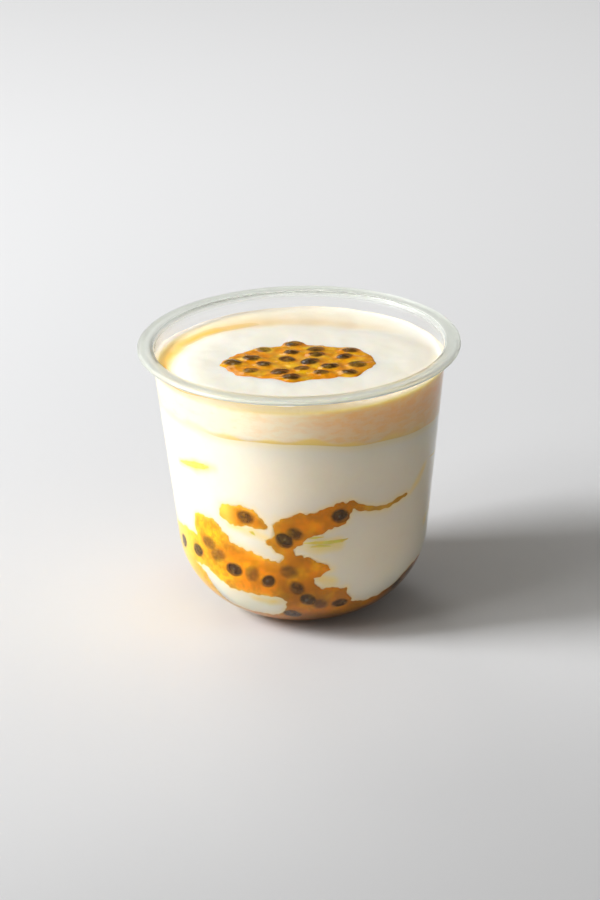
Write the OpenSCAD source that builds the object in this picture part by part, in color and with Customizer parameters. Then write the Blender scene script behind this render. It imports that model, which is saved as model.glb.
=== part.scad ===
// Clear plastic dessert pot filled with layers of yogurt, cream and fruit pulp.
// Millimetres, +Z up. The origin is the centre of the foot, on the surface that the pot stands on.
// Azimuths are in degrees, from the front (-Y) towards the right (+X).

/* [Pot] */
// Outer diameter across the rim
rim_d = 98; // [80:1:120]
// Overall height, from the foot to the top of the rim
pot_h = 85; // [65:1:110]
// Outer diameter of the body just under the rim
body_d = 89.6; // [72:0.2:96]
// Lean of the side wall from the vertical, in degrees
draft = 6; // [3:0.5:9]
// Thickness of the wall and the floor
wall_t = 0.8; // [0.5:0.1:1.5]
// Outer radius of the round corner between the wall and the foot
corner_r = 27; // [15:0.5:32]
// How much of the round bottom is flattened into the foot
foot_cut = 0.3; // [0.1:0.1:1]

/* [Rim] */
// Thickness of the flat rim
rim_t = 0.9; // [0.6:0.1:1.4]
// Diameter of the bead along the edge of the rim
bead_d = 1.5; // [1:0.1:2.5]

/* [Layers] */
// From the top of the rim down to the cream
headroom = 5.8; // [5.4:0.1:12]
// Depth of the cream at the middle of the pot
cream_t = 11.4; // [6:0.2:18]
// Lean of the cream's underside, in degrees, down towards the right
cream_tilt = 4.5; // [0:0.5:8]
// Height of the waves on the cream's underside
cream_wave = 0.5; // [0:0.1:1.5]
// Height of the level part of the pulp at the bottom
pulp_h = 7.5; // [3:0.5:14]

/* [Topping] */
// Length of the pulp pool on the cream
pool_l = 52; // [30:1:60]
// Width of the pulp pool on the cream
pool_w = 35; // [20:1:50]
// How far the middle of the pool lies behind the middle of the pot
pool_y = -2; // [-8:0.5:8]
// How far the pool stands above the cream
pool_rise = 0.8; // [0.4:0.1:1.1]
// How far the pool sinks into the cream
pool_sink = 1.4; // [0.5:0.1:3]
// Depth of the lobes around the pool's edge
pool_lobe = 1.3; // [0:0.1:2.5]

/* [Hidden] */
$fn = 64;

// Radii and heights that several pieces share
rim_r = rim_d / 2;
bead_r = bead_d / 2;
corner_z = corner_r - foot_cut;
collar_z = pot_h - rim_t;
fill_z = pot_h - headroom;
corner_x = wall_r(corner_z, 0) - corner_r / cos(draft);

// Fineness of the arcs
arc_steps = 20;
bead_steps = 12;
lobe_steps = 72;
wave_steps = 28;

// Stretch past a piece for a clean cut
over = 1;

// Sides of a lump of pulp, and its depth as a share of its radius
lump_sides = 11;
lump_depth = 0.9;

// Height on the wall at which the distances between the lumps are measured
lumps_z = 42;
lumps_r = wall_r(lumps_z, wall_t);

// Lumps of pulp against the wall: distance round it from the front, height of the centre, radius
front_lumps = [
    [-38, 32, 5.5], [-39.4, 26, 5.5], [-33, 27, 7], [-26.8, 25, 7], [-19.6, 23, 6.5], [-12.6, 22, 6.5],
    [-23.3, 42.5, 3], [-18.3, 42, 2.8], [-13.7, 41.2, 2.4],
    [-5.6, 40, 4.2], [0, 41, 4], [5.6, 42, 3.6], [11.2, 44.5, 3.8], [-6.3, 33, 3.6],
    [-2.8, 26, 5.5], [1.4, 20, 6.5], [5.6, 13, 6], [12, 12, 5]
];
side_lumps = [[-52, 22, 7.5], [-64.6, 22, 7], [43.5, 8, 6.5], [56.2, 12, 7]];
back_lumps = [
    [73, 13, 7.5], [85.6, 20, 7], [95.4, 28, 5], [105.3, 13, 7.5], [118, 19, 7],
    [-123.6, 27, 5.5], [-118, 34, 3.8], [-99.7, 14, 8], [-84.2, 12, 7]
];

// Radius of the side wall at height z, a depth d inside the outer face
function wall_r(z, d) = body_d / 2 - (collar_z - z) * tan(draft) - d / cos(draft);

// Points of the body's outline a depth d inside the outer face, from the axis up to height top
function outline(d, top) =
    let (r = corner_r - d)
    let (start = -asin((corner_z - d) / r))
    concat(
        [[0, d]],
        [for (i = [0:arc_steps])
            let (a = start + (-draft - start) * i / arc_steps)
            [corner_x + r * cos(a), corner_z + r * sin(a)]],
        [[wall_r(top, d), top]]
    );

// Points round the bead, from the rim's underside to its top
function bead() =
    let (start = 180 + asin((rim_t - bead_r) / bead_r))
    [for (i = [0:bead_steps])
        let (a = start + (450 - start) * i / bead_steps)
        [rim_r - bead_r + bead_r * cos(a), pot_h - bead_r + bead_r * sin(a)]];

// A list in the opposite order
function backwards(list) = [for (i = [len(list) - 1:-1:0]) list[i]];

// Height of the cream's underside at a place x
function cream_floor(x) =
    fill_z - cream_t - x * tan(cream_tilt) + cream_wave * sin(x * 9) + cream_wave / 2 * sin(x * 17);

// Distance from the middle of the pool to its edge, before it is made oval
function pool_edge(a) = 1 + (pool_lobe / pool_l) * (sin(3 * a + 20) + 0.8 * sin(5 * a) + 0.5 * sin(8 * a + 70));

// The pot: a thin shell with a flat, beaded rim
module cup() {
    color([0.86, 0.90, 0.86, 0.35])
        rotate_extrude()
            polygon(concat(
                outline(0, collar_z),
                bead(),
                backwards(outline(wall_t, pot_h))
            ));
}

// All that the pot can hold, up to height top
module filling(top) {
    rotate_extrude()
        polygon(concat(outline(wall_t, top), [[0, top]]));
}

// The space under the cream
module under_cream() {
    reach = rim_r + over;
    rotate([90, 0, 0])
        linear_extrude(height = 2 * reach, center = true)
            polygon(concat(
                [[-reach, -over]],
                [[reach, -over]],
                [for (i = [wave_steps:-1:0])
                    let (x = -reach + 2 * reach * i / wave_steps)
                    [x, cream_floor(x)]]
            ));
}

// One lump of pulp against the inside of the wall, wider than it is deep
module lump(along, z, r) {
    azimuth = along / lumps_r * 180 / PI;
    x = z > corner_z ? wall_r(z, wall_t) : corner_x + sqrt(pow(corner_r - wall_t, 2) - pow(corner_z - z, 2));
    rotate([0, 0, azimuth])
        translate([0, -x, z])
            rotate([90, 0, 0])
                translate([0, 0, -lump_depth * r])
                    rotate([0, 0, azimuth])
                        cylinder(r = r, h = lump_depth * r + r, $fn = lump_sides);
}

// The pulp before the pot shapes it: a level bed and the lumps that climb the wall
module pulp_mass() {
    translate([0, 0, -over])
        cylinder(r = rim_r, h = pulp_h + over);
    for (row = concat(front_lumps, side_lumps, back_lumps))
        lump(row[0], row[1], row[2]);
}

// The pool of pulp on the cream
module pool() {
    translate([0, pool_y, fill_z - pool_sink])
        linear_extrude(height = pool_sink + pool_rise)
            polygon([for (i = [0:lobe_steps - 1])
                let (a = 360 * i / lobe_steps)
                [pool_l / 2 * pool_edge(a) * cos(a), pool_w / 2 * pool_edge(a) * sin(a)]]);
}

module fruit_base() {
    color([0.96, 0.68, 0.08])
        intersection() {
            filling(fill_z);
            pulp_mass();
        }
}

module yogurt() {
    color([0.97, 0.96, 0.91])
        difference() {
            intersection() {
                filling(fill_z);
                under_cream();
            }
            pulp_mass();
        }
}

module cream_layer() {
    color([0.97, 0.90, 0.76])
        difference() {
            filling(fill_z);
            under_cream();
            pool();
        }
}

module fruit_topping() {
    color([0.95, 0.62, 0.06])
        pool();
}

cup();
fruit_base();
yogurt();
cream_layer();
fruit_topping();
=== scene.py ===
"""A clear dessert pot of yogurt with a cream layer and seeded fruit pulp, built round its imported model."""
import math
import random

import bmesh
import bpy
import numpy as np
from mathutils import Matrix, Vector, noise


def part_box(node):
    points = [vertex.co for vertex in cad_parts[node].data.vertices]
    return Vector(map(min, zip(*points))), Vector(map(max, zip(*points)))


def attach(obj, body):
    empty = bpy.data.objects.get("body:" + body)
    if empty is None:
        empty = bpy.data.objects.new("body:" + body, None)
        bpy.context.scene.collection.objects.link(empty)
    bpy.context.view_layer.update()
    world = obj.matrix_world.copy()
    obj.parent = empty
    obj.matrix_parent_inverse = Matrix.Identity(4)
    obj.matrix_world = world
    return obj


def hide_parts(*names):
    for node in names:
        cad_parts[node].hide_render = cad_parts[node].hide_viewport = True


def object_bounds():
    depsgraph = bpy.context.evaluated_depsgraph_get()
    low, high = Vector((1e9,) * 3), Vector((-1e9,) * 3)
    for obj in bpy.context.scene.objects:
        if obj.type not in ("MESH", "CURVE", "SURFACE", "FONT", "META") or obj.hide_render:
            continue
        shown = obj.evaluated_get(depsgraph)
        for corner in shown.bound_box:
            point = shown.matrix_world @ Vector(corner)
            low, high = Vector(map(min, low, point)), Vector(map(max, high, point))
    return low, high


bl_info = {
    "name": "Yogurt Pot",
    "version": (1, 0, 0),
    "blender": (4, 5, 0),
    "location": "3D View > Sidebar > Yogurt Pot",
    "description": "Builds a clear pot of yogurt, cream and fruit pulp",
    "category": "Add Mesh",
}

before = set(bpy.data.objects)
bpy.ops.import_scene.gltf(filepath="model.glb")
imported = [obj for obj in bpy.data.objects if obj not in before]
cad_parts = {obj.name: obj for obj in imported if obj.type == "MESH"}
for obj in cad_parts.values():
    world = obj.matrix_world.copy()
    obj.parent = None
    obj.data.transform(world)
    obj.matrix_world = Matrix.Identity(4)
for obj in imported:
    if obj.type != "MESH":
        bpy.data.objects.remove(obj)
CAD_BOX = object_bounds()
BODY = "root"

# Sizes in the lists below are in millimetres, and azimuths in degrees from the front towards the right
MM = 0.001
RIM_R = CAD_BOX[1][0]
POT_H = CAD_BOX[1][2]
FILL_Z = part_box("cream_layer")[1][2]

# Radius at which distances round the wall are measured
WRAP_R = 41 * MM
ROUND = 2 * math.pi * WRAP_R

# How far each filling reaches into the wall
YOGURT_REACH = 0.12 * MM
PULP_REACH = 0.22 * MM

# Thickness of a seed as a share of its length
SEED_FLATNESS = 0.44

# Bands of pulp against the wall, each a row of azimuth, height and half width
PULP_BANDS = [
    # the broad band on the left, with its raised head
    [(-52, 36.4, 2.6), (-49, 33, 4.6), (-46, 29.5, 7), (-42, 27, 7.6), (-34, 24.6, 8.2), (-26, 23.8, 7.6),
     (-18, 22.8, 6.6), (-11, 21.8, 6)],
    [(-51, 36.2, 3), (-44, 36.2, 2.9), (-38.5, 33.6, 2.8)],
    [(-104, 20, 7), (-90, 22, 7.5), (-78, 22.5, 7.5), (-66, 25.5, 5.6), (-57, 26.6, 4.8), (-48, 27, 5)],
    # the small flag above it
    [(-34.4, 42.9, 2.9), (-28, 43.4, 3), (-23, 43, 2.7), (-19.6, 41.8, 1.9), (-17.6, 40.8, 1)],
    # the band that runs up to the right, and its thin tail
    [(-14.8, 35.6, 1), (-11.5, 35.8, 2.4)],
    [(-10.6, 41, 1.6), (-7.6, 39.6, 3.6), (-5, 39.4, 4.9), (0, 41, 4.2), (6, 42, 3.4), (12, 43.3, 3.3),
     (17, 45, 3.2), (21, 46.6, 1.8)],
    [(23, 46.2, 1.1), (26, 45.4, 0.7), (30, 44.5, 0.55), (35, 43.7, 0.5), (40, 43.5, 0.4), (45, 44.4, 0.5),
     (50, 44.8, 0.35), (53, 44.8, 0.1)],
    [(-7, 37, 3.2), (-9, 34.4, 2.7), (-6.6, 31.6, 1.3), (-5.6, 30, 2)],
    # the pillar and lobes at the middle
    [(-6, 27, 3), (-3, 26.8, 3.9), (2, 27, 3.4), (7, 26.4, 2), (11.5, 25.8, 0.6)],
    [(-6, 26, 4.5), (-4, 21, 6), (-1, 17, 5.8), (2, 13, 6), (8, 13, 5.4), (15, 13.6, 4), (20, 13, 2.6)],
    [(6, 17.4, 2), (12, 17, 2.2), (18, 16.6, 2.2)],
    [(-7, 14.5, 1.4), (-5, 10, 3), (-8, 6, 3)],
    [(18, 12, 3), (27, 9, 2.4), (36, 8, 2)],
    # the far side
    [(104, 16, 5), (112, 20, 6), (122, 24, 5), (131, 30, 3.4), (137, 34, 1.2)],
    [(112, 22, 3), (104, 29, 3.4), (97, 34, 2.4), (90, 36, 0.6)],
    [(150, 20, 6), (163, 24, 6), (174, 29, 4.6), (-178, 35, 3.6), (-172, 40, 2), (-168, 42, 0.6)],
    [(170, 14, 6), (-172, 16, 6), (-160, 22, 5), (-150, 28, 3.6), (-143, 31, 1.2)],
    [(-158, 40, 2.2), (-151, 39, 2.8), (-144, 37.4, 1.6), (-139, 36, 0.4)],
    [(-128, 14, 6), (-118, 20, 5), (-112, 27, 3.4), (-109, 33, 1.8), (-107, 36, 0.4)],
]
# Thin streaks of juice in the yogurt
STREAKS = [
    [(-61, 55, 0.2), (-56, 55.6, 0.7), (-50, 56.4, 1), (-45, 57, 0.8), (-42, 57.4, 0.2)],
    [(0, 35.6, 0.1), (5, 35.6, 0.4), (12, 35.4, 0.5), (17, 35.4, 0.4), (20, 35.8, 0.1)],
    [(2, 37, 0.1), (5, 37.3, 0.35), (9, 37.4, 0.1)],
    [(3, 34.2, 0.1), (7, 34.4, 0.35), (12, 34, 0.1)],
    [(-24, 38.4, 0.1), (-22.6, 38.2, 0.4), (-21.4, 37.4, 0.1)],
    [(70, 52, 0.1), (78, 51, 0.4), (88, 51.6, 0.5), (97, 53, 0.1)],
    [(146, 50, 0.1), (156, 51.4, 0.5), (167, 51, 0.4), (175, 49.6, 0.1)],
    [(-130, 47, 0.1), (-122, 48.2, 0.5), (-112, 48, 0.1)],
]
# Soft yellow stains in the yogurt
STAINS = [
    [(-3, 34.2, 0.4), (6, 34.2, 1.8), (15, 34.6, 1.8)],
    [(8, 23, 1.4), (13, 20.8, 1.8)],
    [(-34, 39.6, 0.5), (-24, 38.6, 0.8), (-15, 36.6, 0.6)],
    [(-62, 54.8, 0.4), (-50, 56, 1.2), (-39, 57.6, 0.6)],
    [(54, 44.8, 0.3), (60, 47.6, 0.5), (65, 51, 0.3)],
    [(-26, 14.6, 0.5), (-18, 14, 0.8), (-12, 14.4, 1)],
    [(72, 30, 0.8), (84, 34, 1.4), (98, 42, 1)],
    [(140, 44, 1), (152, 47, 1.6), (168, 46, 1)],
    [(-138, 44, 0.6), (-124, 46, 1.4), (-110, 44, 0.8)],
]
# Round the cream, by azimuth: how high it clings above its level, the juice's distance from the wall, its
# half width and strength, the clinging juice, the painted shade between the juice and the wall, and the
# juice under the cream
CLIMB = [
    (-180, 0.7), (-150, 0.6), (-120, 0.9), (-85, 2.2), (-40, 2.8), (0, 2.9), (50, 2.8), (85, 2), (120, 0.8),
    (180, 0.7),
]
JUICE_RING = [
    (-180, 12), (-162, 9), (-142, 6.4), (-120, 4.4), (-90, 2.8), (-60, 1.4), (0, 1), (90, 1), (120, 5),
    (150, 11), (180, 12),
]
JUICE_WIDTH = [
    (-180, 4.2), (-150, 3.2), (-120, 3.2), (-90, 3), (-60, 1.8), (0, 1), (100, 1), (150, 4),
    (180, 3.8),
]
JUICE_POWER = [
    (-180, 0.3), (-160, 0.6), (-145, 0.95), (-110, 1), (-80, 1), (-55, 0.7), (-30, 0), (105, 0),
    (150, 0.25), (180, 0.3),
]
CLUNG_JUICE = [(-180, 0), (-110, 0.5), (-60, 0.9), (0, 0.9), (70, 0.8), (110, 0.2), (180, 0)]
WALL_SHADE = [(-180, 0.6), (-150, 0.7), (-120, 0.6), (-60, 0.4), (-30, 0), (120, 0), (150, 0.35), (180, 0.6)]
LOWER_JUICE = [
    (-180, 0.5), (-70, 0.2), (-42, 0.3), (-25, 1), (20, 1), (38, 0.6), (60, 0.3), (120, 0.8),
    (180, 0.5),
]
# Height of the pulp bed's edge on the wall: azimuth, height
BED_EDGE = [
    (-180, 11), (-150, 14), (-120, 12), (-95, 17), (-76, 20), (-62, 19.6), (-54, 18.6), (-51, 13),
    (-47, 8.4), (-30, 7), (-17, 7.4), (-8, 9), (4, 11), (18, 12), (30, 11), (40, 11), (50, 13), (56, 15.6),
    (62, 18), (70, 18),
    (78, 17), (95, 15), (120, 11), (150, 15), (180, 11),
]
# Seeds that show in the front bands of pulp: the band, then how far along it each seed lies, from 0 to 1
FRONT_SEEDS = [
    (0, (0.2, 0.35, 0.55, 0.72, 0.88)), (2, (0.6, 0.85)), (3, (0.5,)), (5, (0.2, 0.85)), (7, (0.2,)),
    (9, (0, 0.25, 0.45, 0.7, 0.95)), (11, (0.8,)),
]
# Seeds in the pool on the cream, and the turn from each to the next
POOL_COUNT = 20
POOL_TURN = math.radians(137.5)


# ---------------------------------------------------------------------------
# Settings
# ---------------------------------------------------------------------------


class PotSettings(bpy.types.PropertyGroup):
    """Sizes and colour of the clear pot"""

    body_d: bpy.props.FloatProperty(
        name="Body diameter", description="Across the body, just under the rim",
        default=0.0896, unit="LENGTH"
    )
    draft: bpy.props.FloatProperty(
        name="Draft", description="Lean of the side wall", default=math.radians(6), subtype="ANGLE"
    )
    wall: bpy.props.FloatProperty(
        name="Wall", description="Thickness of the wall", default=0.0008, unit="LENGTH"
    )
    corner_r: bpy.props.FloatProperty(
        name="Corner radius", description="Round between the wall and the foot",
        default=0.027, unit="LENGTH"
    )
    foot_cut: bpy.props.FloatProperty(
        name="Foot cut", description="Height cut off the round bottom", default=0.0003, unit="LENGTH"
    )
    rim_t: bpy.props.FloatProperty(
        name="Rim", description="Thickness of the rim", default=0.0009, unit="LENGTH"
    )
    bead_d: bpy.props.FloatProperty(
        name="Bead", description="Diameter of the bead along the rim", default=0.0015, unit="LENGTH"
    )
    tint: bpy.props.FloatVectorProperty(
        name="Tint", description="Colour of the clear plastic",
        default=(0.985, 0.985, 0.975), subtype="COLOR"
    )


class FillingSettings(bpy.types.PropertyGroup):
    """Sizes and colours of the yogurt and the cream"""

    band_h: bpy.props.FloatProperty(
        name="Cream depth", description="Cream at the front of the pot", default=0.0106, unit="LENGTH"
    )
    yogurt: bpy.props.FloatVectorProperty(
        name="Yogurt", description="Colour of the yogurt", default=(0.82, 0.74, 0.61), subtype="COLOR"
    )
    cream: bpy.props.FloatVectorProperty(
        name="Cream", description="Colour of the cream's top", default=(0.98, 0.89, 0.73), subtype="COLOR"
    )
    band: bpy.props.FloatVectorProperty(
        name="Cream side", description="Colour of the cream behind the wall",
        default=(0.85, 0.54, 0.24), subtype="COLOR"
    )
    juice: bpy.props.FloatVectorProperty(
        name="Juice", description="Colour of the juice on the cream",
        default=(0.88, 0.55, 0.10), subtype="COLOR"
    )


class PulpSettings(bpy.types.PropertyGroup):
    """Colours and sizes of the pulp and its seeds"""

    light: bpy.props.FloatVectorProperty(
        name="Yellow pulp", description="Colour of the paler pulp",
        default=(0.90, 0.53, 0.004), subtype="COLOR"
    )
    deep: bpy.props.FloatVectorProperty(
        name="Orange pulp", description="Colour of the deeper pulp",
        default=(0.86, 0.28, 0.0), subtype="COLOR"
    )
    seed: bpy.props.FloatVectorProperty(
        name="Seeds", description="Colour of the seeds", default=(0.045, 0.022, 0.012), subtype="COLOR"
    )
    seed_l: bpy.props.FloatProperty(
        name="Seed length", description="End to end", default=0.0050, unit="LENGTH"
    )


class StageSettings(bpy.types.PropertyGroup):
    """The camera, the light and the floor"""

    distance: bpy.props.FloatProperty(
        name="Camera distance", description="From the camera to the pot", default=1.0, unit="LENGTH"
    )
    elevation: bpy.props.FloatProperty(
        name="Camera elevation", description="Height of the camera as an angle", default=math.radians(23.0),
        subtype="ANGLE",
    )
    roll: bpy.props.FloatProperty(
        name="Camera roll", description="Turn of the camera about its view",
        default=math.radians(-1.3), subtype="ANGLE"
    )
    lens: bpy.props.FloatProperty(name="Lens", description="Focal length in millimetres", default=130.3)
    floor: bpy.props.FloatVectorProperty(
        name="Floor", description="Colour of the floor", default=(0.742, 0.736, 0.720), subtype="COLOR"
    )


# ---------------------------------------------------------------------------
# The wall's outline, which the pot and its fillings share
# ---------------------------------------------------------------------------


class Outline:
    """The body's outline at a depth inside its outer face, measured from the middle of the foot upwards."""

    def __init__(self, pot, depth, top=None):
        self.draft = pot.draft
        corner_z = pot.corner_r - pot.foot_cut
        collar_z = POT_H - pot.rim_t
        self.top = collar_z if top is None else top

        def wall_r(z, d):
            return pot.body_d / 2 - (collar_z - z) * math.tan(pot.draft) - d / math.cos(pot.draft)

        corner_x = wall_r(corner_z, 0) - pot.corner_r / math.cos(pot.draft)
        r = pot.corner_r - depth
        start = -math.asin((corner_z - depth) / r)
        angles = np.linspace(start, -pot.draft, 36)
        arc_x = corner_x + r * np.cos(angles)
        arc_z = corner_z + r * np.sin(angles)
        wall_z = np.linspace(arc_z[-1], self.top, 40)[1:]
        self.x = np.concatenate([[0, arc_x[0] * 0.999], arc_x, [wall_r(z, depth) for z in wall_z]])
        self.z = np.concatenate([[depth, depth], arc_z, wall_z])
        turn = np.concatenate([[-math.pi / 2, -math.pi / 2], angles, np.full(len(wall_z), -pot.draft)])
        self.turn = turn
        self.s = np.concatenate([[0], np.cumsum(np.hypot(np.diff(self.x), np.diff(self.z)))])
        self.length = float(self.s[-1])

    def along(self, z):
        """Distance along the outline to height z"""
        return np.interp(z, self.z[1:], self.s[1:])

    def radius(self, z):
        """Radius at height z"""
        return np.interp(z, self.z[1:], self.x[1:])

    def place(self, azimuth, s, depth):
        """Points at an azimuth in radians, a distance along the outline and a depth inside it"""
        x = np.interp(s, self.s, self.x)
        z = np.interp(s, self.s, self.z)
        a = np.interp(s, self.s, self.turn)
        x = np.maximum(x - depth * np.cos(a), 0)
        z = z - depth * np.sin(a)
        return np.stack([x * np.sin(azimuth), -x * np.cos(azimuth), z], axis=-1)


def smooth(edge0, edge1, value):
    """A soft step from 0 at edge0 to 1 at edge1"""
    t = np.clip((value - edge0) / (edge1 - edge0), 0, 1)
    return t * t * (3 - 2 * t)


def rough(points, size, seed):
    """Soft random values, about -1 to 1, that change over a length of size"""
    shift = Vector((seed * 7.3, seed * 3.1, seed * 5.7))
    return np.array([noise.noise(Vector(p) / size + shift) for p in points])


# ---------------------------------------------------------------------------
# Where the pulp lies on the wall
# ---------------------------------------------------------------------------


class PulpMap:
    """How far a place on the wall lies from the edge of the pulp, and how deep the pulp is there."""

    def __init__(self, outline, bands, blend):
        self.outline = outline
        self.blend = blend
        pieces = []
        for band in bands:
            row = [(math.radians(a) * WRAP_R, float(outline.along(z * MM)), w * MM) for a, z, w in band]
            for one, two in zip(row[:-1], row[1:]):
                reach = (two[0] - one[0] + ROUND / 2) % ROUND - ROUND / 2
                pieces.append((one[0], one[1], one[2], reach, two[1] - one[1], two[2] - one[2]))
        self.pieces = np.array(pieces)
        bed = np.array(BED_EDGE, float)
        self.bed_azimuth = np.radians(bed[:, 0])
        self.bed_s = outline.along(bed[:, 1] * MM)

    def bands(self, u, v):
        """Distance to the nearest band, negative inside"""
        total = np.zeros(len(u))
        for u0, v0, w0, du, dv, dw in self.pieces:
            pu = (u - u0 + ROUND / 2) % ROUND - ROUND / 2
            pv = v - v0
            t = np.clip((pu * du + pv * dv) / (du * du + dv * dv + 1e-12), 0, 1)
            gap = np.hypot(pu - t * du, pv - t * dv) - (w0 + t * dw)
            total += np.exp(-np.clip(gap / self.blend, -60, 60))
        return -self.blend * np.log(total + 1e-30)

    def bed(self, u, v):
        """Distance up to the edge of the bed, negative inside"""
        azimuth = (u / WRAP_R + math.pi) % (2 * math.pi) - math.pi
        return v - np.interp(azimuth, self.bed_azimuth, self.bed_s)

    def ragged(self, u, v):
        """Small bays and lobes along the edges"""
        points = self.outline.place(u / WRAP_R, v, 0)
        tail = smooth(22, 27, np.degrees(u / WRAP_R)) * smooth(38 * MM, 41 * MM, points[:, 2])
        tail = tail * smooth(62, 57, np.degrees(u / WRAP_R))
        return (1 - 0.8 * tail) * (
            0.7 * MM * rough(points, 3.4 * MM, 1) + 0.7 * MM * rough(points, 1.4 * MM, 2)
        )

    def edge(self, u, v):
        """Distance to the edge of all the pulp, negative inside"""
        k = 1.2 * MM
        one = self.bands(u, v)
        two = self.bed(u, v)
        both = -k * np.log(np.exp(-np.clip(one / k, -50, 50)) + np.exp(-np.clip(two / k, -50, 50)))
        return both + self.ragged(u, v)

    def depth(self, u, v, edge):
        """Depth of the pulp behind the wall"""
        bed = smooth(0, 7 * MM, -self.bed(u, v))
        full = (3.4 + 3.4 * bed) * MM
        return full * (1 - np.exp(np.minimum(edge, 0) / (1.5 * MM)))


# ---------------------------------------------------------------------------
# Mesh helpers
# ---------------------------------------------------------------------------


def finish_piece(bm, name, material, replaced=(), crease=math.radians(40)):
    """Turns a bmesh into a piece of the pot, in its material"""
    mesh = bpy.data.meshes.new(name)
    bm.to_mesh(mesh)
    bm.free()
    for face in mesh.polygons:
        face.use_smooth = True
    mesh.set_sharp_from_angle(angle=crease)
    piece = bpy.data.objects.new(name, mesh)
    bpy.context.scene.collection.objects.link(piece)
    mesh.materials.append(material)
    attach(piece, BODY)
    if replaced:
        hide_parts(*replaced)
    return piece


def coordinates(bm):
    """The places of a bmesh's vertices, as rows"""
    return np.array([v.co for v in bm.verts], float).reshape(-1, 3)


def move_to(verts, places):
    """Puts each vertex at its new place"""
    for vert, place in zip(verts, places):
        vert.co = place


def paint(bm, name, values):
    """Keeps one number for each vertex, for the materials"""
    layer = bm.verts.layers.float.new(name)
    for vert, value in zip(bm.verts, values):
        vert[layer] = value


def spin_profile(points, steps):
    """A closed shape turned round the pot's axis from an outline of radii and heights"""
    bm = bmesh.new()
    verts = [bm.verts.new((x, 0, z)) for x, z in points]
    edges = [bm.edges.new(pair) for pair in zip(verts[:-1], verts[1:])]
    bmesh.ops.spin(
        bm, geom=verts + edges, cent=(0, 0, 0), axis=(0, 0, 1),
        angle=2 * math.pi, steps=steps, use_merge=True
    )
    bmesh.ops.remove_doubles(bm, verts=bm.verts, dist=1e-7)
    bmesh.ops.recalc_face_normals(bm, faces=bm.faces)
    return bm


def wrapped_grid(columns, rows, low, high):
    """A grid that goes once round the pot, from a low to a high distance along the outline"""
    bm = bmesh.new()
    bmesh.ops.create_grid(bm, x_segments=columns, y_segments=rows, size=1)
    for v in bm.verts:
        v.co = ((v.co.x + 1) / 2 * ROUND - ROUND / 2, low + (v.co.y + 1) / 2 * (high - low), 0)
    return bm


def cut_to_field(bm, field):
    """Keeps the part of a flat grid where field is negative, and slides its edge onto the 0 line"""
    bm.faces.ensure_lookup_table()
    centres = np.array([f.calc_center_median() for f in bm.faces])
    values = field(centres[:, 0], centres[:, 1])
    outside = [f for f, value in zip(bm.faces, values) if value > 0]
    bmesh.ops.delete(bm, geom=outside, context="FACES")
    lone = [v for v in bm.verts if not v.link_faces]
    bmesh.ops.delete(bm, geom=lone, context="VERTS")
    side = max(abs(v.co.x) for v in bm.verts)
    edge = [v for v in bm.verts if v.is_boundary and abs(v.co.x) < side - 1e-6]
    places = np.array([v.co for v in edge])
    u, v = places[:, 0].copy(), places[:, 1].copy()
    step = 0.05 * MM
    for _ in range(4):
        here = field(u, v)
        slope_u = (field(u + step, v) - field(u - step, v)) / (2 * step)
        slope_v = (field(u, v + step) - field(u, v - step)) / (2 * step)
        size = np.maximum(slope_u ** 2 + slope_v ** 2, 0.2)
        u -= np.clip(here * slope_u / size, -0.3 * MM, 0.3 * MM)
        v -= np.clip(here * slope_v / size, -0.3 * MM, 0.3 * MM)
    for vert, a, b in zip(edge, u, v):
        vert.co.x, vert.co.y = a, b


def thicken(bm, front, back):
    """Turns a flat sheet into a closed piece, from the places of its front and its back"""
    order = bm.verts.layers.int.new("order")
    for number, vert in enumerate(bm.verts):
        vert[order] = number
    made = bmesh.ops.extrude_face_region(bm, geom=list(bm.faces), use_keep_orig=True)
    behind = {g for g in made["geom"] if isinstance(g, bmesh.types.BMVert)}
    for vert in bm.verts:
        vert.co = (back if vert in behind else front)[vert[order]]
    bm.verts.layers.int.remove(order)
    bmesh.ops.remove_doubles(bm, verts=bm.verts, dist=2e-6)
    bmesh.ops.recalc_face_normals(bm, faces=bm.faces)


# ---------------------------------------------------------------------------
# Material helpers
# ---------------------------------------------------------------------------


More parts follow.
